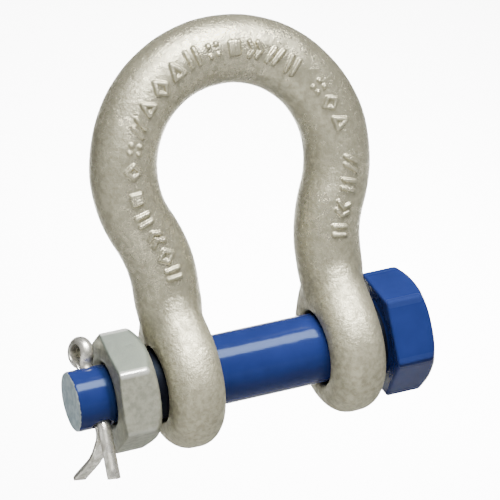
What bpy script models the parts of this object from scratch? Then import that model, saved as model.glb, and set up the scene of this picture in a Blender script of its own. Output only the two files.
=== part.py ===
"""Bow shackle with a safety bolt: forged bow, shouldered bolt, hexagon nut and split pin.

Metres, +Z up. The bolt's axis is X, with the nut at -X and the head at +X, and Z points from the bolt to
the bow's crown. The origin is on the bolt's axis, midway between the ears.
"""

import math

import bmesh
import bpy
from mathutils import Matrix, Vector

OBJECT_NAME = "bow_shackle"

# Forged bow: a round bar along an arc, two flares and two straight legs, with an ear on each leg
LEG_X = 0.0270
JAW_WIDTH = 0.0358
EAR_THICKNESS = 0.0175
EAR_X = (JAW_WIDTH + EAR_THICKNESS) / 2.0
EAR_RADIUS = 0.0219
EAR_EDGE_RADIUS = 0.0078
HOLE_RADIUS = 0.0119
HOLE_CHAMFER = 0.0006
BOW_RADIUS = 0.0349
BOW_CENTRE_Z = 0.0630
FLARE_RADIUS = 0.0410
CROWN_BAR_RADIUS = 0.0106
SIDE_BAR_RADIUS = 0.0104
LEG_BAR_RADIUS = 0.0103
LEG_ROOT_RADIUS = 0.0090
LEG_TAPER_Z = 0.0240
LEG_END_Z = 0.0080

# Bolt: head, shank through both ears, shoulder, thread, and a plain end with a cross hole
HEAD_ACROSS_FLATS = 0.0343
HEAD_INNER_X = 0.0382
HEAD_OUTER_X = 0.0520
HEAD_TURN = math.radians(21.4)
SHANK_RADIUS = 0.0110
SHOULDER_X = -0.0383
THREAD_RADIUS = 0.0095
THREAD_END_X = -0.0528
TIP_RADIUS = 0.0094
TIP_X = -0.0628
EDGE_CHAMFER = 0.0007

# Nut
NUT_ACROSS_FLATS = 0.0337
NUT_INNER_X = -0.0387
NUT_OUTER_X = -0.0514
NUT_TURN = math.radians(-26.1)
NUT_BORE_RADIUS = 0.00985
NUT_COUNTERSINK_RADIUS = 0.0109

# Split pin: half-round wire, folded at an eye, with its legs bent away from the nut
PIN_X = -0.0552
PIN_TILT = math.radians(28.0)
PIN_TWIST = math.radians(-66.0)
PIN_HOLE_RADIUS = 0.0031
PIN_WIRE_RADIUS = 0.0024
PIN_FLAT_GAP = 0.0003
EYE_RADIUS = 0.0027
EYE_NECK_RADIUS = 0.0048
EYE_SINK = 0.00035
LEG_CLEAR = 0.0005

# The split pin's bent legs: each stretch's bend radius, the lean in degrees that it ends at, and the
# straight length that follows
LONG_LEG = ((0.0060, 52.0, 0.0022), (0.0150, 78.0, 0.0076))
SHORT_LEG = ((0.0072, 9.3, 0.0150),)

# Chamfers of the hexagons: the end circle's share of the width across flats, and how deep the cone goes at
# a corner
HEX_END_CIRCLE = 0.95
HEAD_CORNER_DEPTH = 0.0021
NUT_INNER_CORNER_DEPTH = 0.0030
NUT_OUTER_CORNER_DEPTH = 0.0006

ROUND_STEPS = 48
BAR_RESOLUTION = 4
SHARP_ANGLE = math.radians(32.0)
MERGE = 0.00001

X_AXIS_UP = Matrix.Rotation(math.radians(90.0), 4, "Y")
HALF_STEP = Matrix.Rotation(math.pi / ROUND_STEPS, 4, "Z")

COLOURS = {
    "bow": ((0.40, 0.39, 0.35, 1.0), 0.50, 0.75),
    "bolt": ((0.016, 0.055, 0.22, 1.0), 0.28, 0.0),
    "nut": ((0.44, 0.43, 0.39, 1.0), 0.42, 0.80),
    "split_pin": ((0.60, 0.58, 0.52, 1.0), 0.30, 0.95),
}


def clear_scene():
    for item in list(bpy.data.objects):
        bpy.data.objects.remove(item)


def new_collection(name):
    group = bpy.data.collections.new(name)
    bpy.context.scene.collection.children.link(group)
    return group


def new_material(name):
    colour, roughness, metallic = COLOURS[name]
    material = bpy.data.materials.new(name)
    material.use_nodes = True
    shader = material.node_tree.nodes["Principled BSDF"]
    shader.inputs["Base Color"].default_value = colour
    shader.inputs["Roughness"].default_value = roughness
    shader.inputs["Metallic"].default_value = metallic
    return material


def add_object(name, data, group, matrix=None):
    item = bpy.data.objects.new(name, data)
    group.objects.link(item)
    if matrix is not None:
        item.matrix_world = matrix
    return item


def add_cutter(name, data, group, matrix=None):
    item = add_object(name, data, group, matrix)
    item.hide_render = True
    item.display_type = "WIRE"
    return item


def evaluated_mesh(item):
    bpy.context.view_layer.update()
    graph = bpy.context.evaluated_depsgraph_get()
    return bpy.data.meshes.new_from_object(item.evaluated_get(graph))


def turned_mesh(name, profile):
    """The closed body that a profile of (radius, height) points makes, listed from its top to its bottom."""
    mesh = bpy.data.meshes.new(name)
    points = [(radius, 0.0, height) for radius, height in profile]
    edges = [(n, n + 1) for n in range(len(points) - 1)]
    mesh.from_pydata(points, edges, [])
    spinner = bpy.data.objects.new(name + "_profile", mesh)
    bpy.context.scene.collection.objects.link(spinner)
    screw = spinner.modifiers.new("turn", "SCREW")
    screw.axis = "Z"
    screw.angle = math.tau
    screw.steps = ROUND_STEPS
    screw.render_steps = ROUND_STEPS
    screw.use_merge_vertices = True
    screw.merge_threshold = MERGE
    result = evaluated_mesh(spinner)
    result.name = name
    bpy.data.objects.remove(spinner)
    return result


def hexagon_mesh(name, across_flats, low, high):
    """A hexagonal prism along Z from low to high."""
    mesh = bpy.data.meshes.new(name)
    corner = across_flats / 2.0 / math.cos(math.radians(30.0))
    builder = bmesh.new()
    bmesh.ops.create_cone(
        builder,
        cap_ends=True,
        segments=6,
        radius1=corner,
        radius2=corner,
        depth=high - low,
        matrix=Matrix.Translation((0.0, 0.0, (low + high) / 2.0)),
    )
    builder.to_mesh(mesh)
    builder.free()
    return mesh


def chamfer_mesh(name, across_flats, low, high, low_depth, high_depth):
    """The turned body that rounds off a hexagon's corners, running past both of its ends.

    A cone meets an end's circle and goes to its depth at a corner. A depth of 0 leaves that end square.
    """
    corner = across_flats / 2.0 / math.cos(math.radians(30.0))
    end = across_flats / 2.0 * HEX_END_CIRCLE
    past = 0.001

    def cone(plane, depth, outward):
        if not depth:
            return [(corner + past, plane + outward * past)]
        slope = (corner - end) / depth
        wide = (corner + past, plane - outward * (corner + past - end) / slope)
        return [(end - past * slope, plane + outward * past), wide]

    upper = cone(high, high_depth, 1.0)
    lower = cone(low, low_depth, -1.0)[::-1]
    return turned_mesh(name, [(0.0, upper[0][1])] + upper + lower + [(0.0, lower[-1][1])])


def combine(item, operation, tool, solver="EXACT"):
    """Add, cut or intersect the item with the tool by a Boolean modifier."""
    step = item.modifiers.new(operation.lower() + "_" + tool.name, "BOOLEAN")
    step.operation = operation
    step.solver = solver
    step.object = tool


def finish(item, material_name):
    """Apply the modifiers, give the piece its material and shade it smooth between its sharp edges."""
    mesh = evaluated_mesh(item)
    item.modifiers.clear()
    item.data = mesh
    mesh.name = item.name
    mesh.materials.clear()
    mesh.materials.append(new_material(material_name))
    mesh.shade_smooth()
    mesh.set_sharp_from_angle(angle=SHARP_ANGLE)
    return item


def arc(centre, radius, start, end, count):
    """Points (across, up) on an arc, from one angle to another, both ends included."""
    angles = [start + (end - start) * n / (count - 1) for n in range(count)]
    return [(centre[0] + radius * math.cos(a), centre[1] + radius * math.sin(a)) for a in angles]


def half_loop(loop_radius, loop_centre, neck_radius, leg_offset, counts):
    """One side of a loop on two legs: from its top, round to the neck, and in to the top of the leg.

    It also returns the height where the straight leg begins.
    """
    reach = loop_radius + neck_radius
    side = leg_offset + neck_radius
    meet = math.acos(side / reach)
    leg_top = loop_centre - math.sqrt(reach**2 - side**2)
    outer = arc((0.0, loop_centre), loop_radius, math.pi / 2.0, -meet, counts[0])
    neck = arc((side, leg_top), neck_radius, math.pi - meet, math.pi, counts[1])
    return outer + neck[1:], leg_top


def bar_radius(x, z, leg_top):
    """The bar's radius: fullest at the crown, and drawn down where the leg enters the ear."""
    if z > BOW_CENTRE_Z:
        share = (z - BOW_CENTRE_Z) / BOW_RADIUS
        return SIDE_BAR_RADIUS + (CROWN_BAR_RADIUS - SIDE_BAR_RADIUS) * share**2
    if z > leg_top:
        share = (BOW_CENTRE_Z - z) / (BOW_CENTRE_Z - leg_top)
        return SIDE_BAR_RADIUS + (LEG_BAR_RADIUS - SIDE_BAR_RADIUS) * share
    if z > LEG_TAPER_Z:
        return LEG_BAR_RADIUS
    share = (LEG_TAPER_Z - z) / (LEG_TAPER_Z - LEG_END_Z)
    return LEG_BAR_RADIUS + (LEG_ROOT_RADIUS - LEG_BAR_RADIUS) * share


def make_bar(group):
    """The forged round bar as a tube on its centreline, made a mesh so that it can be joined to the ears."""
    side, leg_top = half_loop(BOW_RADIUS, BOW_CENTRE_Z, FLARE_RADIUS, LEG_X, (26, 8))
    side += [(LEG_X, z) for z in (LEG_TAPER_Z, (LEG_TAPER_Z + LEG_END_Z) / 2.0, LEG_END_Z)]
    points = [(-x, z) for x, z in reversed(side)] + side[1:]
    curve = bpy.data.curves.new("bar_line", "CURVE")
    curve.dimensions = "3D"
    curve.bevel_depth = SIDE_BAR_RADIUS
    curve.bevel_resolution = BAR_RESOLUTION
    curve.use_fill_caps = True
    spline = curve.splines.new("POLY")
    spline.points.add(len(points) - 1)
    for point, (x, z) in zip(spline.points, points):
        point.co = (x, 0.0, z, 1.0)
        point.radius = bar_radius(x, z, leg_top) / SIDE_BAR_RADIUS
    guide = add_object("bar_guide", curve, group)
    mesh = evaluated_mesh(guide)
    bpy.data.objects.remove(guide)
    builder = bmesh.new()
    builder.from_mesh(mesh)
    bmesh.ops.remove_doubles(builder, verts=builder.verts, dist=MERGE)
    bmesh.ops.recalc_face_normals(builder, faces=builder.faces)
    builder.to_mesh(mesh)
    builder.free()
    return mesh


def ear_profile():
    """A disc with a rounded rim, along the bolt's axis."""
    half = EAR_THICKNESS / 2.0
    ring = EAR_RADIUS - EAR_EDGE_RADIUS
    flat = half - EAR_EDGE_RADIUS
    upper = arc((ring, flat), EAR_EDGE_RADIUS, math.pi / 2.0, 0.0, 8)
    lower = arc((ring, -flat), EAR_EDGE_RADIUS, 0.0, -math.pi / 2.0, 8)
    return [(0.0, half)] + upper + lower + [(0.0, -half)]


def hole_profile():
    """The bolt hole through one ear, opened out at both faces."""
    half = EAR_THICKNESS / 2.0
    past = 0.004
    wide = HOLE_RADIUS + HOLE_CHAMFER + past
    return [
        (0.0, half + past),
        (wide, half + past),
        (HOLE_RADIUS, half - HOLE_CHAMFER),
        (HOLE_RADIUS, HOLE_CHAMFER - half),
        (wide, -half - past),
        (0.0, -half - past),
    ]


def make_bow(group, cutters):
    bow = add_object("bow", make_bar(group), group)
    ear = turned_mesh("ear", ear_profile())
    hole = turned_mesh("ear_hole", hole_profile())
    for side, x in (("left", -EAR_X), ("right", EAR_X)):
        place = Matrix.Translation((x, 0.0, 0.0)) @ X_AXIS_UP
        combine(bow, "UNION", add_cutter("ear_" + side, ear, cutters, place))
    for side, x in (("left", -EAR_X), ("right", EAR_X)):
        place = Matrix.Translation((x, 0.0, 0.0)) @ X_AXIS_UP @ HALF_STEP
        combine(bow, "DIFFERENCE", add_cutter("hole_" + side, hole, cutters, place), "MANIFOLD")
    return finish(bow, "bow")


def shank_profile():
    """The turned part of the bolt, from inside its head to its plain end."""
    return [
        (0.0, (HEAD_INNER_X + HEAD_OUTER_X) / 2.0),
        (SHANK_RADIUS, (HEAD_INNER_X + HEAD_OUTER_X) / 2.0),
        (SHANK_RADIUS, SHOULDER_X + EDGE_CHAMFER),
        (SHANK_RADIUS - EDGE_CHAMFER, SHOULDER_X),
        (THREAD_RADIUS, SHOULDER_X),
        (THREAD_RADIUS, THREAD_END_X + (THREAD_RADIUS - TIP_RADIUS)),
        (TIP_RADIUS, THREAD_END_X),
        (TIP_RADIUS, TIP_X + EDGE_CHAMFER),
        (TIP_RADIUS - EDGE_CHAMFER, TIP_X),
        (0.0, TIP_X),
    ]


def pin_frame():
    """The split pin's own axes in the bolt's tip: local Z runs up the pin, and local X along the bolt."""
    return Matrix.Translation((PIN_X, 0.0, 0.0)) @ Matrix.Rotation(-PIN_TILT, 4, "X")


def make_bolt(group, cutters):
    size = (HEAD_ACROSS_FLATS, HEAD_INNER_X, HEAD_OUTER_X)
    place = Matrix.Rotation(HEAD_TURN, 4, "X") @ X_AXIS_UP
    bolt = add_object("bolt", hexagon_mesh("bolt", *size), group, place)
    rounder = chamfer_mesh("head_chamfer", *size, 0.0, HEAD_CORNER_DEPTH)
    shank = turned_mesh("shank", shank_profile())
    reach = TIP_RADIUS + 0.004
    hole = [(0.0, reach), (PIN_HOLE_RADIUS, reach), (PIN_HOLE_RADIUS, -reach), (0.0, -reach)]
    drill = turned_mesh("drill", hole)
    combine(bolt, "INTERSECT", add_cutter("head_chamfer", rounder, cutters, X_AXIS_UP))
    combine(bolt, "UNION", add_cutter("shank", shank, cutters, X_AXIS_UP))
    combine(bolt, "DIFFERENCE", add_cutter("pin_hole", drill, cutters, pin_frame()))
    return finish(bolt, "bolt")


def make_nut(group, cutters):
    size = (NUT_ACROSS_FLATS, NUT_OUTER_X, NUT_INNER_X)
    place = Matrix.Rotation(NUT_TURN, 4, "X") @ X_AXIS_UP
    nut = add_object("nut", hexagon_mesh("nut", *size), group, place)
    rounder = chamfer_mesh("nut_chamfer", *size, NUT_OUTER_CORNER_DEPTH, NUT_INNER_CORNER_DEPTH)
    past = 0.002
    sink = NUT_COUNTERSINK_RADIUS - NUT_BORE_RADIUS
    bore = turned_mesh(
        "nut_bore",
        [
            (0.0, NUT_INNER_X + past),
            (NUT_COUNTERSINK_RADIUS + past, NUT_INNER_X + past),
            (NUT_BORE_RADIUS, NUT_INNER_X - sink),
            (NUT_BORE_RADIUS, NUT_OUTER_X + sink),
            (NUT_COUNTERSINK_RADIUS + past, NUT_OUTER_X - past),
            (0.0, NUT_OUTER_X - past),
        ],
    )
    combine(nut, "INTERSECT", add_cutter("nut_chamfer", rounder, cutters, X_AXIS_UP))
    combine(nut, "DIFFERENCE", add_cutter("nut_bore", bore, cutters, X_AXIS_UP))
    return finish(nut, "nut")


def bent_leg(start, stretches):
    """A leg's points from its start down, each of its stretches a bend and then a straight length."""
    across, down = start
    lean = 0.0
    points = [start]
    for radius, degrees, straight in stretches:
        end_lean = math.radians(degrees)
        centre = (across - radius * math.cos(lean), down + radius * math.sin(lean))
        for n in range(1, 5):
            angle = lean + (end_lean - lean) * n / 4.0
            points.append((centre[0] + radius * math.cos(angle), centre[1] - radius * math.sin(angle)))
        lean = end_lean
        across, down = points[-1]
        across -= straight * math.sin(lean)
        down -= straight * math.cos(lean)
        points.append((across, down))
    return points


def split_pin_line():
    """The middle of the wire's flat side, from the long leg's end, round the eye, to the short leg's end."""
    offset = PIN_FLAT_GAP / 2.0
    reach = EYE_RADIUS + EYE_NECK_RADIUS
    rise = math.sqrt(reach**2 - (offset + EYE_NECK_RADIUS) ** 2)
    eye_centre = TIP_RADIUS - EYE_SINK + rise
    side, _ = half_loop(EYE_RADIUS, eye_centre, EYE_NECK_RADIUS, offset, (12, 6))
    bend_start = -TIP_RADIUS - LEG_CLEAR
    left = [(-x, z) for x, z in side] + bent_leg((-offset, bend_start), LONG_LEG)
    right = side[1:] + bent_leg((offset, bend_start), SHORT_LEG)
    return left[::-1] + right


def make_split_pin(group, cutters):
    """Half-round wire: a half disc swept along the line, lying in the plane of the eye."""
    outline = bpy.data.curves.new("wire_outline", "CURVE")
    outline.dimensions = "2D"
    outline.fill_mode = "NONE"
    edge = outline.splines.new("POLY")
    half_disc = arc((0.0, 0.0), PIN_WIRE_RADIUS, math.radians(90.0), math.radians(270.0), 9)
    edge.points.add(len(half_disc) - 1)
    for point, (x, y) in zip(edge.points, half_disc):
        point.co = (x, y, 0.0, 1.0)
    edge.use_cyclic_u = True
    guide = add_cutter("wire_outline", outline, cutters)

    line = split_pin_line()
    curve = bpy.data.curves.new("pin_line", "CURVE")
    curve.dimensions = "2D"
    curve.fill_mode = "NONE"
    curve.bevel_mode = "OBJECT"
    curve.bevel_object = guide
    curve.use_fill_caps = True
    spline = curve.splines.new("POLY")
    spline.points.add(len(line) - 1)
    for point, (x, z) in zip(spline.points, line):
        point.co = (x, z, 0.0, 1.0)
    wire = add_object("wire", curve, group)
    mesh = evaluated_mesh(wire)
    bpy.data.objects.remove(wire)
    builder = bmesh.new()
    builder.from_mesh(mesh)
    bmesh.ops.remove_doubles(builder, verts=builder.verts, dist=MERGE)
    upright = Matrix.Rotation(math.radians(90.0), 3, "X")
    bmesh.ops.rotate(builder, verts=builder.verts, cent=Vector(), matrix=upright)
    bmesh.ops.recalc_face_normals(builder, faces=builder.faces)
    builder.to_mesh(mesh)
    builder.free()
    place = pin_frame() @ Matrix.Rotation(PIN_TWIST, 4, "Z")
    return finish(add_object("split_pin", mesh, group, place), "split_pin")


def main():
    clear_scene()
    parts = new_collection(OBJECT_NAME)
    cutters = new_collection("cutters")
    make_bow(parts, cutters)
    make_bolt(parts, cutters)
    make_nut(parts, cutters)
    make_split_pin(parts, cutters)


main()
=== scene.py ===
"""Bow shackle with a safety bolt: its fine surfaces, materials, floor, lights and camera.

Metres, +Z up. X is the bolt's axis, with the nut at -X and the head at +X, and the marked side faces -Y.
The bow, bolt and nut are made from distance fields, which give a forging its soft edges and fillets, and
the split pin is half-round wire swept along its bent line.
"""

import math

import bmesh
import bpy
import numpy as np
from mathutils import Matrix, Vector


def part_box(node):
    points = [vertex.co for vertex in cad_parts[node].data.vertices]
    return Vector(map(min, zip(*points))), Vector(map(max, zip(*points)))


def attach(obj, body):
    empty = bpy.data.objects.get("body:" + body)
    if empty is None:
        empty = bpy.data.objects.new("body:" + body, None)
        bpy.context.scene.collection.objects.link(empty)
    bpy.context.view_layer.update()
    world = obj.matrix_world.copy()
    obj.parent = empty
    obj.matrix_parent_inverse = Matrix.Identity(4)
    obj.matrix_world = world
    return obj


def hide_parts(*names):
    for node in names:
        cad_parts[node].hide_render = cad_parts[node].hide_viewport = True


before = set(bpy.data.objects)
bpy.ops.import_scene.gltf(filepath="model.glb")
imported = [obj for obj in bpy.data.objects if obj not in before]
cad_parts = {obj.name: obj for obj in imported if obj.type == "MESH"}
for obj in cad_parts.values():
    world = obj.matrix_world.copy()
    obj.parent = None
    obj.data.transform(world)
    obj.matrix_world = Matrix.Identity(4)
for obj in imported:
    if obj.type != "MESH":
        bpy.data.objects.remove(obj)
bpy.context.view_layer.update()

MM = 0.001

# The bow, from its node's box and the forging's own radii
BOW_LOW, BOW_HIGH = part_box("bow")
EAR_RADIUS = -BOW_LOW.z
EAR_THICKNESS = 0.0175
EAR_EDGE_RADIUS = 0.0078
JAW_WIDTH = 0.0358
EAR_X = (JAW_WIDTH + EAR_THICKNESS) / 2.0
LEG_X = 0.0270
HOLE_RADIUS = 0.0119
HOLE_EDGE = 0.0016
BOW_RADIUS = 0.0349
BOW_CENTRE_Z = 0.0630
FLARE_RADIUS = 0.0410
CROWN_BAR_RADIUS = 0.0106
SIDE_BAR_RADIUS = 0.0104
LEG_BAR_RADIUS = 0.0103
LEG_ROOT_RADIUS = 0.0090
LEG_TAPER_Z = 0.0240
LEG_END_Z = 0.0080
# The fillet from leg to ear is this wide at the leg's sides, and this much wider at its front and back
LEG_FILLET = 0.0006
LEG_FILLET_FRONT = 0.0095
BROAD_WAVE = 0.00006
CLOSE_WAVE = 0.00004

# A hexagon's chamfer meets its end face in a circle of this radius, as a share of the width across flats
CHAMFER_CIRCLE = 0.475
# Scales down a field whose slope is over 1: the thread's, and the nut's flared bore's
EASE = 0.8

# The bolt, from its node's box
BOLT_LOW, BOLT_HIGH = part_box("bolt")
HEAD_ACROSS_FLATS = 0.0343
HEAD_INNER_X = 0.0382
HEAD_TURN = math.radians(21.4)
HEAD_CORNER = 0.0005
HEAD_CHAMFER_DEPTH = 0.0021
HEAD_CHAMFER_EDGE = 0.0012
HEAD_FACE_EDGE = 0.0009
HEAD_FILLET = 0.0016
SHANK_RADIUS = 0.0110
SHANK_IN_HEAD = 0.0050
SHOULDER_X = -0.0383
SHOULDER_EDGE = 0.0012
THREAD_RADIUS = 0.0095
THREAD_ROOT_RADIUS = 0.0082
THREAD_PITCH = 0.00254
THREAD_END_X = -0.0528
# Of half a pitch: the flat at the thread's root, and the slope from there to its crest
THREAD_ROOT_SHARE = 0.15
THREAD_FLANK_SHARE = 0.65
# The thread's start and end: a relief next to the shoulder, and a 45 degree lead-in next to the tip
RELIEF_LENGTH = 0.0016
RELIEF_IN_SHANK = 0.0010
RELIEF_FILLET = 0.0005
LEAD_STEP = 0.0002
LEAD_SLOPE = 0.7071
LEAD_EDGE = 0.0006
TIP_RADIUS = 0.0094
TIP_IN_THREAD = 0.0020
TIP_EDGE = 0.0009

# The nut, from its node's box
NUT_LOW, NUT_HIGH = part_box("nut")
NUT_ACROSS_FLATS = 0.0337
NUT_TURN = math.radians(-26.1)
NUT_CORNER = 0.0007
NUT_INNER_CHAMFER_DEPTH = 0.0030
NUT_INNER_CHAMFER_EDGE = 0.0010
NUT_OUTER_CHAMFER_DEPTH = 0.0006
NUT_OUTER_CHAMFER_EDGE = 0.0006
NUT_FACE_EDGE = 0.0007
NUT_BORE_RADIUS = 0.00985
NUT_BORE_FLARE = 0.0012
NUT_BORE_EDGE = 0.0004

# The split pin
PIN_X = -0.0552
PIN_TILT = math.radians(28.0)
PIN_TWIST = math.radians(-66.0)
PIN_HOLE_RADIUS = 0.0031
PIN_HOLE_EDGE = 0.0006
PIN_WIRE_RADIUS = 0.0024
PIN_WIRE_CORNER = 0.00035
PIN_FLAT_GAP = 0.0003
EYE_RADIUS = 0.0027
EYE_NECK_RADIUS = 0.0048
EYE_SINK = 0.00035
LEG_CLEAR = 0.0005
# Each leg's stretches: bend radius, the lean in degrees that it ends at, and the straight length after it
LONG_LEG = ((0.0060, 52.0, 0.0022), (0.0150, 78.0, 0.0076))
SHORT_LEG = ((0.0072, 9.3, 0.0150),)
# The two rings that round each cut end: size as a share of the wire's, and how far past the end
PIN_END_RINGS = ((0.94, 0.00012), (0.80, 0.00020))

# How finely each field is meshed
BOW_CELL = 0.00062
BOLT_CELL = 0.00042
NUT_CELL = 0.00036
MARK_CELL = 0.00024

# How a field's mesh is made: the first three are in cells, and the evening is a share of the way to go
NET_MARGIN = 1.5
GRADIENT_STEP = 0.02
LONGEST_MOVE = 0.7
EVENING_SHARE = 0.6
LEAST_SQUARE_SLOPE = 0.05


# ---- distance fields -------------------------------------------------------------------------------------

def smooth_min(a, b, width):
    """The union of two fields with a fillet about as wide as width."""
    near = np.maximum(width - np.abs(a - b), 0.0) / width
    return np.minimum(a, b) - near * near * width * 0.25


def smooth_max(a, b, width):
    """The common part of two fields with a rounded edge about as wide as width."""
    return -smooth_min(-a, -b, width)


def rounded_disc(along, across, half, radius, edge):
    """A disc with a round rim, from the distances along and away from its axis."""
    a = np.abs(along) - (half - edge)
    b = across - (radius - edge)
    outside = np.hypot(np.maximum(a, 0.0), np.maximum(b, 0.0))
    return outside + np.minimum(np.maximum(a, b), 0.0) - edge


def corner_radius(across_flats):
    """The distance from a hexagon's middle to its sharp corners."""
    return across_flats / 2.0 / math.cos(math.radians(30.0))


def hexagon(y, z, across_flats, turn, corner):
    """A hexagonal prism along X with rounded corners. At turn 0 two of its flats face up and down."""
    field = None
    for n in range(3):
        angle = turn + n * math.pi / 3.0
        flat = np.abs(z * math.cos(angle) - y * math.sin(angle)) - across_flats / 2.0
        field = flat if field is None else smooth_max(field, flat, corner)
    return field


def hexagon_chamfer(x, r, across_flats, plane, outward, depth):
    """The inside of the cone that chamfers a hexagon's end, which is depth deep at the sharp corners."""
    end_radius = across_flats * CHAMFER_CIRCLE
    slope = (corner_radius(across_flats) - end_radius) / depth
    return (r - end_radius - (plane - x) * outward * slope) / math.hypot(1.0, slope)


def between(x, low, high):
    """The space from one plane across X to another."""
    return np.maximum(low - x, x - high)


# ---- meshes from fields ----------------------------------------------------------------------------------

def neighbours(grid, axis, across=slice(None)):
    """Each value of a grid and the next one along an axis, as two arrays."""
    first, second = [across] * 3, [across] * 3
    first[axis] = slice(0, -1)
    second[axis] = slice(1, None)
    return grid[tuple(first)], grid[tuple(second)]


def net_points(values, low, cell):
    """A point in each cell that the surface crosses, and a grid with each cell's point number, or -1."""
    counts = values.shape
    total = np.zeros((counts[0] - 1, counts[1] - 1, counts[2] - 1, 3))
    crossings = np.zeros(total.shape[:3], int)
    for axis in range(3):
        a, b = neighbours(values, axis)
        crossed = (a < 0.0) != (b < 0.0)
        part = np.where(crossed, a / np.where(crossed, a - b, 1.0), 0.0)
        others = [n for n in range(3) if n != axis]
        for i in (0, 1):
            for j in (0, 1):
                pick = [slice(0, counts[n] - 1) for n in range(3)]
                pick[others[0]] = slice(i, i + counts[others[0]] - 1)
                pick[others[1]] = slice(j, j + counts[others[1]] - 1)
                hit = crossed[tuple(pick)]
                crossings += hit
                total[..., axis] += np.where(hit, part[tuple(pick)], 0.0)
                total[..., others[0]] += hit * float(i)
                total[..., others[1]] += hit * float(j)
    used = crossings > 0
    number = np.full(used.shape, -1)
    number[used] = np.arange(used.sum())
    points = low + cell * (np.argwhere(used) + total[used] / crossings[used][:, None])
    return points, number


def net_faces(inside, number):
    """A face across each grid edge that the surface crosses, between the points of the cells round it."""
    faces = []
    for axis in range(3):
        a, b = neighbours(inside, axis, slice(1, -1))
        at = np.argwhere(a != b)
        flip = b[a != b]
        at += [0 if n == axis else 1 for n in range(3)]
        u, v = (axis + 1) % 3, (axis + 2) % 3
        corners = []
        for du, dv in ((1, 1), (0, 1), (0, 0), (1, 0)):
            near = at.copy()
            near[:, u] -= du
            near[:, v] -= dv
            corners.append(number[near[:, 0], near[:, 1], near[:, 2]])
        quads = np.stack(corners, 1)
        quads[flip] = quads[flip][:, ::-1]
        faces.append(quads)
    return np.concatenate(faces)


def gradient(field, points, cell):
    step = GRADIENT_STEP * cell
    parts = []
    for n in range(3):
        ahead, behind = points.copy(), points.copy()
        ahead[:, n] += step
        behind[:, n] -= step
        parts.append((field(*ahead.T) - field(*behind.T)) / (2.0 * step))
    return np.stack(parts, 1)


def settle(field, points, cell, times):
    """Move the points onto the surface."""
    for _ in range(times):
        slope = gradient(field, points, cell)
        square = np.maximum((slope * slope).sum(1), LEAST_SQUARE_SLOPE)
        move = slope * (field(*points.T) / square)[:, None]
        length = np.linalg.norm(move, axis=1, keepdims=True)
        points = points - move * np.minimum(1.0, LONGEST_MOVE * cell / np.maximum(length, 1e-12))
    return points


def even_out(field, points, faces, cell, times):
    """Move each point along the surface towards the middle of its neighbours."""
    edges = np.concatenate([faces[:, [n, (n + 1) % 4]] for n in range(4)])
    count = len(points)
    degree = np.bincount(edges[:, 0], minlength=count) + np.bincount(edges[:, 1], minlength=count)
    for _ in range(times):
        mean = np.zeros_like(points)
        for n in range(3):
            mean[:, n] += np.bincount(edges[:, 0], points[edges[:, 1], n], count)
            mean[:, n] += np.bincount(edges[:, 1], points[edges[:, 0], n], count)
        mean /= degree[:, None]
        slope = gradient(field, points, cell)
        slope /= np.maximum(np.linalg.norm(slope, axis=1, keepdims=True), 1e-9)
        shift = (mean - points) * EVENING_SHARE
        shift -= slope * (shift * slope).sum(1, keepdims=True)
        points = settle(field, points + shift, cell, 1)
    return points


def surface_net(field, low, high, cell, evenings=3):
    """A closed quad mesh of the surface where the field is 0, as its points and faces.

    One point goes in each cell of a grid that the surface crosses, the points are evened out along the
    surface, and each is moved onto the surface itself.
    """
    low = np.array(low) - NET_MARGIN * cell
    counts = np.ceil((np.array(high) + NET_MARGIN * cell - low) / cell).astype(int) + 1
    axes = [low[n] + cell * np.arange(counts[n]) for n in range(3)]
    values = field(*np.meshgrid(*axes, indexing="ij")).astype(np.float64)
    points, number = net_points(values, low, cell)
    faces = net_faces(values < 0.0, number)
    points = settle(field, points, cell, 2)
    points = even_out(field, points, faces, cell, evenings)
    return settle(field, points, cell, 3), faces


def add_object(name, data):
    item = bpy.data.objects.new(name, data)
    bpy.context.scene.collection.objects.link(item)
    return item


def mesh_object(name, points, faces):
    mesh = bpy.data.meshes.new(name)
    mesh.from_pydata(points.tolist(), [], faces.tolist())
    mesh.validate()
    mesh.shade_smooth()
    return add_object(name, mesh)


# ---- the bow ---------------------------------------------------------------------------------------------

# The centreline's right half: over a quarter of the loop, then the flare's arc, then the straight leg
REACH = BOW_RADIUS + FLARE_RADIUS
FLARE_X = LEG_X + FLARE_RADIUS
MEET_ANGLE = math.acos(FLARE_X / REACH)
LEG_TOP_Z = BOW_CENTRE_Z - math.sqrt(REACH**2 - FLARE_X**2)
LOOP_LENGTH = BOW_RADIUS * (math.pi / 2.0 + MEET_ANGLE)
FLARE_LENGTH = FLARE_RADIUS * MEET_ANGLE


def bar_place(x, z):
    """How far along the centreline from the crown, and how far outside it, a point of the XZ plane lies."""
    side = np.abs(x)
    angle = np.arctan2(z - BOW_CENTRE_Z, side)
    loop_off = np.hypot(side, z - BOW_CENTRE_Z) - BOW_RADIUS
    loop_along = BOW_RADIUS * (math.pi / 2.0 - angle)
    turn = np.arctan2(z - LEG_TOP_Z, FLARE_X - side)
    flare_off = FLARE_RADIUS - np.hypot(FLARE_X - side, z - LEG_TOP_Z)
    flare_along = LOOP_LENGTH + FLARE_RADIUS * (MEET_ANGLE - turn)
    leg_off = side - LEG_X
    leg_along = LOOP_LENGTH + FLARE_LENGTH + (LEG_TOP_Z - z)
    on_loop = angle > -MEET_ANGLE
    on_leg = ~on_loop & (z < LEG_TOP_Z)
    off = np.where(on_loop, loop_off, np.where(on_leg, leg_off, flare_off))
    along = np.where(on_loop, loop_along, np.where(on_leg, leg_along, flare_along))
    return along, off


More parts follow.
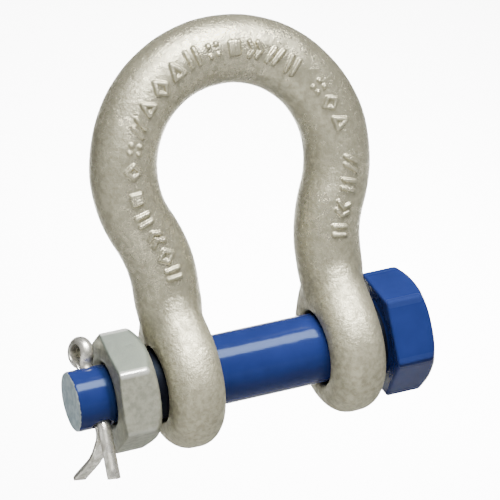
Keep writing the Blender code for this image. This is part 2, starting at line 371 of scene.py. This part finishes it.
def bar_radius(along):
    """The bar's radius: fullest at the crown, and drawn down where the leg enters the ear."""
    leg = LOOP_LENGTH + FLARE_LENGTH
    crown = np.clip(1.0 - along / (BOW_RADIUS * math.pi / 2.0), 0.0, 1.0)
    radius = SIDE_BAR_RADIUS + (CROWN_BAR_RADIUS - SIDE_BAR_RADIUS) * crown**2
    down = np.clip((along - LOOP_LENGTH) / FLARE_LENGTH, 0.0, 1.0)
    radius = radius + (LEG_BAR_RADIUS - SIDE_BAR_RADIUS) * down
    taper = np.clip((along - leg - (LEG_TOP_Z - LEG_TAPER_Z)) / (LEG_TAPER_Z - LEG_END_Z), 0.0, 1.0)
    return radius + (LEG_ROOT_RADIUS - LEG_BAR_RADIUS) * taper


def forging_waves(x, y, z):
    """The slight unevenness that a die forging has, as a change in radius."""
    broad = np.sin(170.0 * x + 0.7) * np.sin(150.0 * z + 2.1) + np.sin(240.0 * y + 190.0 * z + 1.3)
    close = np.sin(420.0 * x + 310.0 * y + 0.4) * np.sin(380.0 * z - 260.0 * y + 1.9)
    return BROAD_WAVE * broad + CLOSE_WAVE * close


def bow_field(x, y, z):
    along, off = bar_place(x, z)
    across = np.hypot(off, y)
    bar = np.maximum(across - bar_radius(along), LEG_END_Z - z)
    radius = np.hypot(y, z)
    ear = rounded_disc(np.abs(x) - EAR_X, radius, EAR_THICKNESS / 2.0, EAR_RADIUS, EAR_EDGE_RADIUS)
    forward = (y / np.maximum(across, 0.001)) ** 2
    body = smooth_min(bar, ear, LEG_FILLET + LEG_FILLET_FRONT * forward) - forging_waves(x, y, z)
    return smooth_max(body, HOLE_RADIUS - radius, HOLE_EDGE)


def make_bow():
    points, faces = surface_net(bow_field, BOW_LOW, BOW_HIGH, BOW_CELL)
    return mesh_object("bow_forging", points, faces)


# ---- the raised marks on the bow's front, which stand in for its markings --------------------------------

MARK_HEIGHT = 0.00085
MARK_STROKE = 0.00062
MARK_EDGE = 0.0006
MARK_FILLET = 0.0007
MARK_SINK = 0.00005
# The patch of the bow's surface that each mark is made on: half its length, half its width, and its depth
PATCH_HALF_LENGTH = 3.2 * MM
PATCH_HALF_WIDTH = 4.2 * MM
PATCH_DEPTH = 0.0008
# The box that it is meshed in, out from the mark's middle: to the sides, to the front and to the back
PATCH_BOX_SIDE = 0.0050
PATCH_BOX_FRONT = 0.0016
PATCH_BOX_BACK = 0.0030
# Marks less than this many millimetres from the crown are taller than the rest
CROWN_MARKS_REACH = 26.0
CROWN_MARKS_TALL = 1.2
# Each kind of mark is a few round-topped strokes, along lines of (along, across) points in millimetres
MARKS = {
    "lozenge": (((-1.9, 0.0), (0.0, 2.3), (1.9, 0.0), (0.0, -2.3), (-1.9, 0.0)),),
    "triangle": (((-1.9, -1.8), (0.0, 1.9), (1.9, -1.8), (-1.9, -1.8)),),
    "bars": (((-1.3, -2.1), (-1.3, 2.1)), ((1.3, -2.1), (1.3, 2.1))),
    "slants": (((-2.2, -1.9), (-0.4, 2.0)), ((0.4, -2.0), (2.2, 1.9))),
    "dots": (
        ((-1.2, -1.5), (-1.2, -1.3)), ((1.2, -1.5), (1.2, -1.3)),
        ((-1.2, 1.5), (-1.2, 1.3)), ((1.2, 1.5), (1.2, 1.3)),
    ),
    "chevrons": (((-2.0, -2.0), (-0.6, 0.0), (-2.0, 2.0)), ((0.5, -2.0), (1.9, 0.0), (0.5, 2.0))),
    "block": (
        ((-1.3, -1.5), (-1.3, 1.5)), ((-0.4, 1.6), (-0.4, -1.6)),
        ((0.5, -1.6), (0.5, 1.6)), ((1.3, 1.5), (1.3, -1.5)),
    ),
}
# Each mark's kind, distance in millimetres from the crown along the bar, and offset to the outside
MARK_PLACES = (
    ("lozenge", -23.4, 0.4), ("triangle", -16.6, 1.2), ("bars", -10.2, 1.6), ("dots", -3.6, 1.4),
    ("block", 3.0, 1.0), ("chevrons", 9.6, 0.4), ("slants", 16.2, -0.4), ("bars", 22.8, -0.9),
    ("dots", 34.0, -0.9), ("lozenge", 40.6, -0.9), ("triangle", 47.6, -0.4),
    ("slants", 61.0, 0.8), ("bars", 67.6, 0.8), ("chevrons", 75.4, 0.8), ("bars", 82.2, 0.6),
    ("triangle", -30.6, 0.5), ("slants", -37.2, 0.2), ("dots", -43.8, 0.0), ("lozenge", -50.6, 0.0),
    ("block", -59.0, 0.2), ("bars", -65.6, 0.4), ("chevrons", -72.2, 0.3), ("lozenge", -78.8, 0.1),
    ("bars", -84.8, -0.3),
)


def bar_point(along, off):
    """The (x, z) of a point a distance along the bar from the crown, right positive, and off its middle."""
    side = math.copysign(1.0, along)
    reach = abs(along)
    if reach < LOOP_LENGTH:
        angle = math.pi / 2.0 - reach / BOW_RADIUS
        radius = BOW_RADIUS + off
        return side * radius * math.cos(angle), BOW_CENTRE_Z + radius * math.sin(angle)
    angle = MEET_ANGLE - (reach - LOOP_LENGTH) / FLARE_RADIUS
    radius = FLARE_RADIUS - off
    return side * (FLARE_X - radius * math.cos(angle)), LEG_TOP_Z + radius * math.sin(angle)


def mark_field(kind, middle, lift, tall):
    """The field of one mark and its patch, which ends just under the bow's surface."""
    strokes = [ends for line in MARKS[kind] for ends in zip(line, line[1:])]

    def field(x, y, z):
        along, off = bar_place(x, z)
        across = np.hypot(off, y)
        surface = bar_radius(along) + forging_waves(x, y, z)
        u = np.where(x < 0.0, -along, along) - middle
        v = off - lift
        drawn = None
        for (u0, v0), (u1, v1) in strokes:
            du, dv = (u1 - u0) * MM, (v1 - v0) * tall * MM
            pu, pv = u - u0 * MM, v - v0 * tall * MM
            share = np.clip((pu * du + pv * dv) / (du * du + dv * dv), 0.0, 1.0)
            near = np.hypot(pu - share * du, pv - share * dv) - MARK_STROKE
            drawn = near if drawn is None else np.minimum(drawn, near)
        mark = smooth_max(drawn, across - surface - MARK_HEIGHT, MARK_EDGE)
        skin = smooth_min(across - surface + MARK_SINK, mark, MARK_FILLET)
        patch = np.maximum(np.abs(u) - PATCH_HALF_LENGTH, np.abs(v) - PATCH_HALF_WIDTH)
        patch = np.maximum(patch, surface - PATCH_DEPTH - across)
        return np.maximum(skin, np.maximum(patch, y))

    return field


def make_marks():
    """The marks, each meshed finely on its own small patch."""
    all_points, all_faces, count = [], [], 0
    for kind, centre, across_bar in MARK_PLACES:
        middle, lift = centre * MM, across_bar * MM
        tall = CROWN_MARKS_TALL if abs(centre) < CROWN_MARKS_REACH else 1.0
        x, z = bar_point(middle, lift)
        y = -math.sqrt(bar_radius(abs(middle)) ** 2 - lift**2)
        low = (x - PATCH_BOX_SIDE, y - PATCH_BOX_FRONT, z - PATCH_BOX_SIDE)
        high = (x + PATCH_BOX_SIDE, y + PATCH_BOX_BACK, z + PATCH_BOX_SIDE)
        points, faces = surface_net(mark_field(kind, middle, lift, tall), low, high, MARK_CELL, 1)
        all_points.append(points)
        all_faces.append(faces + count)
        count += len(points)
    return mesh_object("bow_raised_marks", np.concatenate(all_points), np.concatenate(all_faces))


# ---- the bolt --------------------------------------------------------------------------------------------

def thread_radius(x, y, z):
    """The radius of a right-hand thread, with flanks 65 degrees apart, at a point round the bolt's axis."""
    turn = np.arctan2(y, z) / math.tau
    wave = np.abs(((x / THREAD_PITCH + turn) % 1.0) - 0.5) * 2.0
    share = np.clip((wave - THREAD_ROOT_SHARE) / THREAD_FLANK_SHARE, 0.0, 1.0)
    return THREAD_ROOT_RADIUS + (THREAD_RADIUS - THREAD_ROOT_RADIUS) * share


def from_pin_axis(x, y, z):
    """The distance from the middle line of the split pin's hole."""
    return np.hypot(x - PIN_X, y * math.cos(PIN_TILT) - z * math.sin(PIN_TILT))


def bolt_field(x, y, z):
    r = np.hypot(y, z)
    head = hexagon(y, z, HEAD_ACROSS_FLATS, HEAD_TURN, HEAD_CORNER)
    chamfer = hexagon_chamfer(x, r, HEAD_ACROSS_FLATS, BOLT_HIGH.x, 1.0, HEAD_CHAMFER_DEPTH)
    head = smooth_max(head, chamfer, HEAD_CHAMFER_EDGE)
    head = smooth_max(head, between(x, HEAD_INNER_X, BOLT_HIGH.x), HEAD_FACE_EDGE)
    shank = between(x, SHOULDER_X, HEAD_INNER_X + SHANK_IN_HEAD)
    shank = smooth_max(r - SHANK_RADIUS, shank, SHOULDER_EDGE)
    thread = (r - thread_radius(x, y, z)) * EASE
    lead = (r - TIP_RADIUS + LEAD_STEP - (x - THREAD_END_X)) * LEAD_SLOPE
    thread = np.maximum(smooth_max(thread, lead, LEAD_EDGE), x - (SHOULDER_X - RELIEF_LENGTH))
    relief = np.maximum(r - THREAD_ROOT_RADIUS, between(x, THREAD_END_X, SHOULDER_X + RELIEF_IN_SHANK))
    thread = smooth_min(thread, relief, RELIEF_FILLET)
    tip = smooth_max(r - TIP_RADIUS, between(x, BOLT_LOW.x, THREAD_END_X + TIP_IN_THREAD), TIP_EDGE)
    body = smooth_min(head, shank, HEAD_FILLET)
    body = np.minimum(body, np.minimum(thread, tip))
    return smooth_max(body, PIN_HOLE_RADIUS - from_pin_axis(x, y, z), PIN_HOLE_EDGE)


def make_bolt():
    points, faces = surface_net(bolt_field, BOLT_LOW, BOLT_HIGH, BOLT_CELL)
    return mesh_object("safety_bolt", points, faces)


# ---- the nut ---------------------------------------------------------------------------------------------

def nut_field(x, y, z):
    r = np.hypot(y, z)
    body = hexagon(y, z, NUT_ACROSS_FLATS, NUT_TURN, NUT_CORNER)
    inner = hexagon_chamfer(x, r, NUT_ACROSS_FLATS, NUT_HIGH.x, 1.0, NUT_INNER_CHAMFER_DEPTH)
    body = smooth_max(body, inner, NUT_INNER_CHAMFER_EDGE)
    outer = hexagon_chamfer(x, r, NUT_ACROSS_FLATS, NUT_LOW.x, -1.0, NUT_OUTER_CHAMFER_DEPTH)
    body = smooth_max(body, outer, NUT_OUTER_CHAMFER_EDGE)
    body = smooth_max(body, between(x, NUT_LOW.x, NUT_HIGH.x), NUT_FACE_EDGE)
    middle = (NUT_LOW.x + NUT_HIGH.x) / 2.0
    half = (NUT_HIGH.x - NUT_LOW.x) / 2.0
    flare = np.maximum(np.abs(x - middle) - (half - NUT_BORE_FLARE), 0.0)
    return smooth_max(body, (NUT_BORE_RADIUS + flare - r) * EASE, NUT_BORE_EDGE)


def make_nut():
    points, faces = surface_net(nut_field, NUT_LOW, NUT_HIGH, NUT_CELL)
    return mesh_object("hex_nut", points, faces)


# ---- the split pin ---------------------------------------------------------------------------------------

# How many points or steps each part of the wire's line has
EYE_POINTS = 40
NECK_POINTS = 16
SHAFT_STEPS = 20
BEND_STEPS = 16
LEG_STEPS = 6
PIN_SHARP_ANGLE = math.radians(50.0)


def arc(centre, radius, start, end, count):
    """Points (across, up) on an arc, from one angle to another, both ends included."""
    angles = [start + (end - start) * n / (count - 1) for n in range(count)]
    return [(centre[0] + radius * math.cos(a), centre[1] + radius * math.sin(a)) for a in angles]


def bent_leg(start, stretches):
    """A leg's points (across, up) from its start down: one bend and one straight for each stretch."""
    across, up = start
    lean = 0.0
    points = []
    for radius, degrees, straight in stretches:
        end_lean = math.radians(degrees)
        centre = (across - radius * math.cos(lean), up + radius * math.sin(lean))
        for n in range(1, BEND_STEPS + 1):
            angle = lean + (end_lean - lean) * n / BEND_STEPS
            points.append((centre[0] + radius * math.cos(angle), centre[1] - radius * math.sin(angle)))
        lean = end_lean
        across, up = points[-1]
        for n in range(1, LEG_STEPS + 1):
            reach = straight * n / LEG_STEPS
            points.append((across - reach * math.sin(lean), up - reach * math.cos(lean)))
        across, up = points[-1]
    return points


def split_pin_line():
    """The middle of the wire's flat side, from the long leg's end round the eye to the short leg's end."""
    offset = PIN_FLAT_GAP / 2.0
    reach = EYE_RADIUS + EYE_NECK_RADIUS
    neck_x = offset + EYE_NECK_RADIUS
    meet = math.acos(neck_x / reach)
    leg_top = TIP_RADIUS - EYE_SINK
    centre = leg_top + math.sqrt(reach**2 - neck_x**2)
    eye = arc((0.0, centre), EYE_RADIUS, math.pi / 2.0, -meet, EYE_POINTS)
    neck = arc((neck_x, leg_top), EYE_NECK_RADIUS, math.pi - meet, math.pi, NECK_POINTS)
    side = eye + neck[1:]
    bend_start = -TIP_RADIUS - LEG_CLEAR
    shaft = [leg_top + (bend_start - leg_top) * n / SHAFT_STEPS for n in range(1, SHAFT_STEPS + 1)]
    left = [(-x, z) for x, z in side] + [(-offset, z) for z in shaft]
    left += bent_leg((-offset, bend_start), LONG_LEG)
    right = side[1:] + [(offset, z) for z in shaft] + bent_leg((offset, bend_start), SHORT_LEG)
    return left[::-1] + right


def wire_outline():
    """The wire's section, a half disc with rounded corners, as points (out from the flat, across)."""
    radius, corner = PIN_WIRE_RADIUS, PIN_WIRE_CORNER
    turn = math.asin(corner / (radius - corner))
    middle = math.sqrt((radius - corner) ** 2 - corner**2)
    round_end = math.pi / 2.0 - turn
    big = [(radius * math.cos(a), radius * math.sin(a)) for a in np.linspace(-round_end, round_end, 21)]
    corner_angles = np.linspace(round_end, math.pi, 6)[1:]
    top = [(corner + corner * math.cos(a), middle + corner * math.sin(a)) for a in corner_angles]
    flat = [(0.0, y) for y in np.linspace(middle, -middle, 9)[1:-1]]
    low = [(x, -y) for x, y in reversed(top)]
    return big + top + flat + low


def pin_rings():
    """The outline at each point of the line, with smaller ones past each end that round its edge."""
    line = np.array(split_pin_line())
    keep = np.concatenate([[True], np.linalg.norm(np.diff(line, axis=0), axis=1) > 1e-6])
    line = line[keep]
    heading = np.gradient(line, axis=0)
    heading /= np.linalg.norm(heading, axis=1, keepdims=True)
    out = np.stack([-heading[:, 1], heading[:, 0]], 1)
    section = np.array(wire_outline())
    middle = section.mean(0)

    def end_rings(end, sign):
        return [
            (line[end] + heading[end] * sign * push, out[end], middle + (section - middle) * size)
            for size, push in PIN_END_RINGS
        ]

    rings = end_rings(0, -1.0)[::-1] + [(at, side, section) for at, side in zip(line, out)]
    return rings + end_rings(-1, 1.0)


def make_split_pin():
    """The rings joined into one closed skin and put in the bolt's cross hole."""
    rings = pin_rings()
    count = len(rings[0][2])
    points = [
        (at[0] + side[0] * p[0], p[1], at[1] + side[1] * p[0])
        for at, side, shape in rings
        for p in shape
    ]
    faces = []
    for n in range(len(rings) - 1):
        for m in range(count):
            a, b = n * count + m, n * count + (m + 1) % count
            faces.append((a, b, b + count, a + count))
    mesh = bpy.data.meshes.new("split_pin_wire")
    mesh.from_pydata(points, [], faces)
    builder = bmesh.new()
    builder.from_mesh(mesh)
    builder.verts.ensure_lookup_table()
    for first in (0, (len(rings) - 1) * count):
        builder.faces.new([builder.verts[first + n] for n in range(count)])
    bmesh.ops.recalc_face_normals(builder, faces=builder.faces)
    place = Matrix.Translation((PIN_X, 0.0, 0.0)) @ Matrix.Rotation(-PIN_TILT, 4, "X")
    builder.transform(place @ Matrix.Rotation(PIN_TWIST, 4, "Z"))
    builder.to_mesh(mesh)
    builder.free()
    mesh.shade_smooth()
    mesh.set_sharp_from_angle(angle=PIN_SHARP_ANGLE)
    return add_object("split_pin_wire", mesh)


# ---- materials -------------------------------------------------------------------------------------------

# Zinc on the bow: its base colour where it is bright and where it is dull, and the tint of its highlights
BOW_BRIGHT = (0.400, 0.374, 0.268)
BOW_DULL = (0.315, 0.296, 0.209)
BOW_TINT = (0.95, 0.95, 0.88)
# The ears and the legs' feet are rougher than the bar, by this much from the second height down
FOOT_ROUGHNESS = 0.20
FOOT_HEIGHTS = (0.029, 0.015)

# Zinc on the nut, with painted shade on its top flat and a painted highlight, partly wear, on its corners
NUT_BRIGHT = (0.292, 0.290, 0.228)
NUT_DULL = (0.236, 0.236, 0.186)
NUT_TINT = (0.50, 0.53, 0.50)
NUT_TOP_FLAT_SHADE = (0.142, 0.160, 0.136)
NUT_WEAR_AND_HIGHLIGHT = (0.56, 0.56, 0.52)

# The bolt's paint, with painted shade on the thread beside the nut and near-black painted shade on its
# shank in the gaps beside the ears, and its bare cut end
PAINT_BRIGHT = (0.0096, 0.0175, 0.082)
PAINT_DEEP = (0.0072, 0.0130, 0.060)
PAINT_TINT = (0.50, 0.70, 1.0)
PAINT_SHADE_BY_NUT = (0.004, 0.010, 0.030)
PAINT_ROUGHNESS = 0.15
GAP_SHADE = (0.003, 0.003, 0.005)
GAP_SHADE_STARTS = (0.0330, 0.0336)
GAP_SHADE_ENDS = (0.0392, 0.0386)
NUT_SHADE_STARTS = (THREAD_END_X - 0.0010, THREAD_END_X)
NUT_SHADE_ENDS = (-0.0400, -0.0404)
CUT_BRIGHT = (0.50, 0.55, 0.51)
CUT_DULL = (0.33, 0.38, 0.36)

# The split pin's wire
WIRE_BRIGHT = (0.84, 0.82, 0.74)
WIRE_TARNISH = (0.40, 0.385, 0.33)
WIRE_TINT = (0.25, 0.24, 0.21)


class Nodes:
    """A new material's node tree, with a short call for each kind of node used here."""

    def __init__(self, name, **constants):
        self.material = bpy.data.materials.new(name)
        self.material.use_nodes = True
        self.tree = self.material.node_tree
        self.shader = self.tree.nodes["Principled BSDF"]
        for socket, value in constants.items():
            self.shader.inputs[socket.replace("_", " ")].default_value = value
        self.place = self.tree.nodes.new("ShaderNodeTexCoord").outputs["Object"]

    def link(self, source, target):
        self.tree.links.new(source, target)

    def feed(self, socket, value):
        """Link a socket to another node's output, or give it a number."""
        if hasattr(value, "links"):
            self.link(value, socket)
        else:
            socket.default_value = value

    def coordinate(self, axis):
        node = self.tree.nodes.new("ShaderNodeSeparateXYZ")
        self.link(self.place, node.inputs[0])
        return node.outputs[axis]

    def noise(self, scale, detail=3.0, rough=0.55, distortion=0.0):
        node = self.tree.nodes.new("ShaderNodeTexNoise")
        node.inputs["Scale"].default_value = scale
        node.inputs["Detail"].default_value = detail
        node.inputs["Roughness"].default_value = rough
        node.inputs["Distortion"].default_value = distortion
        self.link(self.place, node.inputs["Vector"])
        return node.outputs["Fac"]

    def spread(self, value, low, high, to_low=0.0, to_high=1.0, smooth=False):
        """Map a value's range from low to high onto another, and hold it there outside the range."""
        node = self.tree.nodes.new("ShaderNodeMapRange")
        if smooth:
            node.interpolation_type = "SMOOTHSTEP"
        for socket, number in zip(node.inputs[1:5], (low, high, to_low, to_high)):
            socket.default_value = number
        self.link(value, node.inputs["Value"])
        return node.outputs["Result"]

    def band(self, value, starts, ends, most=1.0):
        """Rise from 0 to most over one range of the value, and fall back to 0 over another."""
        return self.math("MULTIPLY", self.spread(value, *starts, 0.0, most), self.spread(value, *ends))

    def by_radius(self, low, high):
        """From 0 at one distance from the bolt's axis to 1 at another."""
        y, z = self.coordinate("Y"), self.coordinate("Z")
        square = self.math("ADD", self.math("MULTIPLY", y, y), self.math("MULTIPLY", z, z))
        return self.spread(square, low**2, high**2)

    def mix(self, share, a, b):
        """Mix two colours, each a socket or an (r, g, b) tuple."""
        node = self.tree.nodes.new("ShaderNodeMix")
        node.data_type = "RGBA"
        self.feed(node.inputs[0], share)
        for socket, colour in ((node.inputs[6], a), (node.inputs[7], b)):
            self.feed(socket, colour if hasattr(colour, "links") else (*colour, 1.0))
        return node.outputs[2]

    def math(self, operation, a, b=0.0):
        node = self.tree.nodes.new("ShaderNodeMath")
        node.operation = operation
        for socket, value in zip(node.inputs, (a, b)):
            self.feed(socket, value)
        return node.outputs[0]

    def bump(self, height, distance, strength=1.0, under=None):
        node = self.tree.nodes.new("ShaderNodeBump")
        node.inputs["Strength"].default_value = strength
        node.inputs["Distance"].default_value = distance
        self.link(height, node.inputs["Height"])
        if under is not None:
            self.link(under, node.inputs["Normal"])
        return node.outputs["Normal"]

    def set(self, **sockets):
        for name, value in sockets.items():
            self.link(value, self.shader.inputs[name.replace("_", " ")])
        return self.material


def zinc(name, bright, dull, tint, metallic, smoothest, roughest, grain):
    """Hot-dip zinc: a mottled grey, dull and bright in patches, with a fine pitted grain."""
    n = Nodes(name, Metallic=metallic, Specular_Tint=(*tint, 1.0))
    patches = n.spread(n.noise(55.0, detail=4.0, rough=0.6, distortion=0.6), 0.35, 0.65, smooth=True)
    speckle = n.spread(n.noise(520.0, rough=0.6), 0.38, 0.62)
    colour = n.mix(patches, dull, bright)
    fleck = n.mix(speckle, tuple(c * 0.78 for c in dull), tuple(c * 1.14 for c in bright))
    colour = n.mix(0.55, colour, fleck)
    roughness = n.spread(n.math("ADD", patches, speckle), 0.0, 2.0, roughest, smoothest)
    low = n.bump(n.noise(90.0, rough=0.5), distance=0.0009 * grain, strength=0.6)
    fine = n.noise(900.0, detail=4.0, rough=0.7)
    n.set(Normal=n.bump(fine, distance=0.00025 * grain, strength=0.8, under=low))
    return n, colour, roughness


def bow_zinc(name):
    """The forging's zinc, rougher on the ears and the legs' feet."""
    n, colour, roughness = zinc(
        name, BOW_BRIGHT, BOW_DULL, BOW_TINT, metallic=0.78, smoothest=0.21, roughest=0.40, grain=1.6
    )
    rougher = n.spread(n.coordinate("Z"), *FOOT_HEIGHTS, 0.0, FOOT_ROUGHNESS, smooth=True)
    return n.set(Base_Color=colour, Roughness=n.math("ADD", roughness, rougher))


def nut_zinc(name):
    """The nut's zinc, with a painted highlight on the corners, strongest along the upper ones and partly
    wear, and painted shade on the top flat.
    """
    n, colour, roughness = zinc(
        name, NUT_BRIGHT, NUT_DULL, NUT_TINT, metallic=0.55, smoothest=0.36, roughest=0.48, grain=0.5
    )
    facing = NUT_TURN + math.pi / 3.0
    height = n.math("MULTIPLY", n.coordinate("Z"), math.cos(facing))
    height = n.math("ADD", height, n.math("MULTIPLY", n.coordinate("Y"), -math.sin(facing)))
    half = NUT_ACROSS_FLATS / 2.0
    # Painted shade: the top flat is darkened
    colour = n.mix(n.spread(height, half - 0.0010, half - 0.0003), colour, NUT_TOP_FLAT_SHADE)
    corner = corner_radius(NUT_ACROSS_FLATS)
    # Painted highlight, partly wear: the corners are brightened, most along the upper ones
    wear_and_highlight = n.by_radius(corner - 0.0008, corner - 0.0003)
    wear_and_highlight = n.math("MULTIPLY", wear_and_highlight, n.spread(n.coordinate("Z"), 0.002, 0.006, 0.2, 1.0))
    colour = n.mix(wear_and_highlight, colour, NUT_WEAR_AND_HIGHLIGHT)
    roughness = n.math("MULTIPLY", roughness, n.spread(wear_and_highlight, 0.0, 1.0, 1.0, 0.6))
    return n.set(Base_Color=colour, Roughness=roughness)


def blue_enamel(name):
    """Glossy blue enamel with a slight orange peel, painted shade in the gaps beside the ears and on the
    thread by the nut, and bare at the cut end.
    """
    n = Nodes(name, Specular_IOR_Level=0.115, Specular_Tint=(*PAINT_TINT, 1.0))
    paint = n.mix(n.spread(n.noise(60.0), 0.3, 0.7), PAINT_DEEP, PAINT_BRIGHT)
    metal = n.mix(n.spread(n.noise(500.0), 0.35, 0.65), CUT_DULL, CUT_BRIGHT)
    x = n.coordinate("X")
    gap_shaded = n.band(n.math("ABSOLUTE", x), GAP_SHADE_STARTS, GAP_SHADE_ENDS)
    gap_shaded = n.math("MULTIPLY", gap_shaded, n.by_radius(SHANK_RADIUS + 0.0008, SHANK_RADIUS + 0.0004))
    # Painted shade: the shank goes near-black in the gaps between the ears and the head and nut
    paint = n.mix(gap_shaded, paint, GAP_SHADE)
    # Painted shade: the paint is darkened on the thread beside the nut
    paint = n.mix(n.band(x, NUT_SHADE_STARTS, NUT_SHADE_ENDS, most=0.65), paint, PAINT_SHADE_BY_NUT)
    ragged = n.spread(n.noise(900.0, detail=2.0), 0.3, 0.7, -0.00012, 0.00012)
    bare = n.spread(n.math("ADD", x, ragged), BOLT_LOW.x + 0.00035, BOLT_LOW.x + 0.00015)
    colour = n.mix(bare, paint, metal)
    corner = corner_radius(HEAD_ACROSS_FLATS)
    on_corner = n.by_radius(corner - 0.0010, corner - 0.0005)
    roughness = n.spread(n.math("MAXIMUM", bare, gap_shaded), 0.0, 1.0, PAINT_ROUGHNESS, 0.55)
    corner_roughness = n.spread(on_corner, 0.0, 1.0, PAINT_ROUGHNESS, 0.85)
    roughness = n.math("MAXIMUM", roughness, corner_roughness)
    metallic = n.spread(bare, 0.0, 1.0, 0.0, 0.7)
    peel = n.bump(n.noise(260.0, detail=2.0, rough=0.5), distance=0.00012, strength=0.5)
    wavy = n.bump(n.noise(70.0, detail=2.0, rough=0.5), distance=0.0003, strength=0.35, under=peel)
    return n.set(Base_Color=colour, Roughness=roughness, Metallic=metallic, Normal=wavy)


def bright_wire(name):
    """Zinc-plated half-round wire, drawn bright, with a little tarnish."""
    n = Nodes(name, Metallic=0.9, Specular_Tint=(*WIRE_TINT, 1.0))
    tarnish = n.spread(n.noise(380.0, rough=0.6), 0.38, 0.62)
    colour = n.mix(tarnish, WIRE_BRIGHT, WIRE_TARNISH)
    roughness = n.spread(tarnish, 0.0, 1.0, 0.24, 0.42)
    scratched = n.bump(n.noise(700.0), distance=0.0001, strength=0.5)
    return n.set(Base_Color=colour, Roughness=roughness, Normal=scratched)


# ---- stage -----------------------------------------------------------------------------------------------

CAMERA_AZIMUTH = math.radians(-18.587)
CAMERA_ELEVATION = math.radians(9.882)
CAMERA_ROLL = math.radians(8.623)
CAMERA_DISTANCE = 1.0273
CAMERA_LENS = 239.0
CAMERA_SENSOR = 36.0
CAMERA_AIM = Vector((0.00174, 0.0, 0.03474))
FLOOR_Z = -0.60
FLOOR_HALF = 12.0
FLOOR_GREY = (0.62, 0.62, 0.62, 1.0)
BACKDROP_Y = 3.4
BACKDROP_TOP = 1.6
SWEEP_RADIUS = 1.6
SWEEP_STEPS = 16
SHACKLE_MIDDLE = (0.0, 0.0, 0.03)
WORLD_STRENGTH = 0.092
# Six lights shine straight down on the floor all round, so it is pale from every side
FLOOR_LIGHT_REACH = 2.5
FLOOR_LIGHT_Z = 1.6
FLOOR_LIGHT_ANGLES = range(60, 320, 50)


def make_camera():
    data = bpy.data.cameras.new("camera")
    data.lens = CAMERA_LENS
    data.sensor_width = CAMERA_SENSOR
    data.clip_start = 0.05
    data.clip_end = 20.0
    camera = add_object("camera", data)
    a, e = CAMERA_AZIMUTH, CAMERA_ELEVATION
    back = Vector((math.sin(a) * math.cos(e), -math.cos(a) * math.cos(e), math.sin(e)))
    camera.rotation_mode = "QUATERNION"
    roll = Matrix.Rotation(-CAMERA_ROLL, 4, "Z").to_quaternion()
    camera.rotation_quaternion = (-back).to_track_quat("-Z", "Y") @ roll
    camera.location = CAMERA_AIM + back * CAMERA_DISTANCE
    bpy.context.scene.camera = camera


def make_floor():
    """A wide pale floor that sweeps up into a backdrop behind the shackle, opposite the camera."""
    profile = [(-FLOOR_HALF, FLOOR_Z), (BACKDROP_Y - SWEEP_RADIUS, FLOOR_Z)]
    for n in range(1, SWEEP_STEPS + 1):
        angle = math.pi / 2.0 * n / SWEEP_STEPS
        y = BACKDROP_Y - SWEEP_RADIUS * (1.0 - math.sin(angle))
        profile.append((y, FLOOR_Z + SWEEP_RADIUS * (1.0 - math.cos(angle))))
    profile.append((BACKDROP_Y, BACKDROP_TOP))
    points = [(x, y, z) for y, z in profile for x in (-FLOOR_HALF, FLOOR_HALF)]
    faces = [(2 * n, 2 * n + 1, 2 * n + 3, 2 * n + 2) for n in range(len(profile) - 1)]
    mesh = bpy.data.meshes.new("floor")
    mesh.from_pydata(points, [], faces)
    mesh.shade_smooth()
    floor = add_object("floor", mesh)
    mesh.materials.append(Nodes("pale_floor", Roughness=0.9, Base_Color=FLOOR_GREY).material)


def area_light(name, place, target, size, power, spread=180.0):
    """A lamp of size (width, height) in metres and power in watts, that shines at the target."""
    data = bpy.data.lights.new(name, "AREA")
    data.shape = "RECTANGLE"
    data.size, data.size_y = size
    data.energy = power
    data.spread = math.radians(spread)
    light = add_object(name, data)
    light.location = place
    light.rotation_mode = "QUATERNION"
    light.rotation_quaternion = (Vector(target) - Vector(place)).to_track_quat("-Z", "Y")


def make_lights():
    world = bpy.data.worlds.new("studio")
    world.use_nodes = True
    background = world.node_tree.nodes["Background"]
    background.inputs["Color"].default_value = (1.0, 1.0, 1.0, 1.0)
    background.inputs["Strength"].default_value = WORLD_STRENGTH
    bpy.context.scene.world = world
    area_light("softbox", (0.09, -0.46, 0.76), SHACKLE_MIDDLE, (0.60, 0.44), power=20.5, spread=120.0)
    for degrees in FLOOR_LIGHT_ANGLES:
        x = -FLOOR_LIGHT_REACH * math.sin(math.radians(degrees))
        y = FLOOR_LIGHT_REACH * math.cos(math.radians(degrees))
        place, target = (x, y, FLOOR_LIGHT_Z), (x, y, FLOOR_Z)
        area_light(f"floor_{degrees}", place, target, (1.2, 1.2), power=27.0, spread=90.0)
    area_light("left_fill", (-0.95, -0.35, 0.15), SHACKLE_MIDDLE, (1.00, 0.80), power=2.3)
    card_target = (-0.02, 0.0, -0.03)
    area_light("low_card", (-0.28, -0.34, -0.48), card_target, (0.60, 0.40), power=0.22, spread=40.0)
    area_light("backdrop", (0.85, 1.30, 0.75), (0.85, 2.52, -0.43), (0.8, 0.5), power=200.0, spread=100.0)


def make_pieces():
    made = (
        (make_bow, "bow", "bow", "galvanised_bow"),
        (make_marks, None, "bow", "galvanised_bow"),
        (make_bolt, "bolt", "bolt", "painted_bolt"),
        (make_nut, "nut", "nut", "galvanised_nut"),
        (make_split_pin, "split_pin", "split_pin", "split_pin_wire"),
    )
    finishes = {
        "galvanised_bow": bow_zinc("bow_zinc"),
        "painted_bolt": blue_enamel("bolt_enamel"),
        "galvanised_nut": nut_zinc("nut_zinc"),
        "split_pin_wire": bright_wire("pin_wire"),
    }
    for make, node, body, slot in made:
        piece = make()
        piece.data.materials.append(finishes[slot])
        if node:
            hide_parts(node)
        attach(piece, body)


make_pieces()
make_floor()
make_lights()
make_camera()
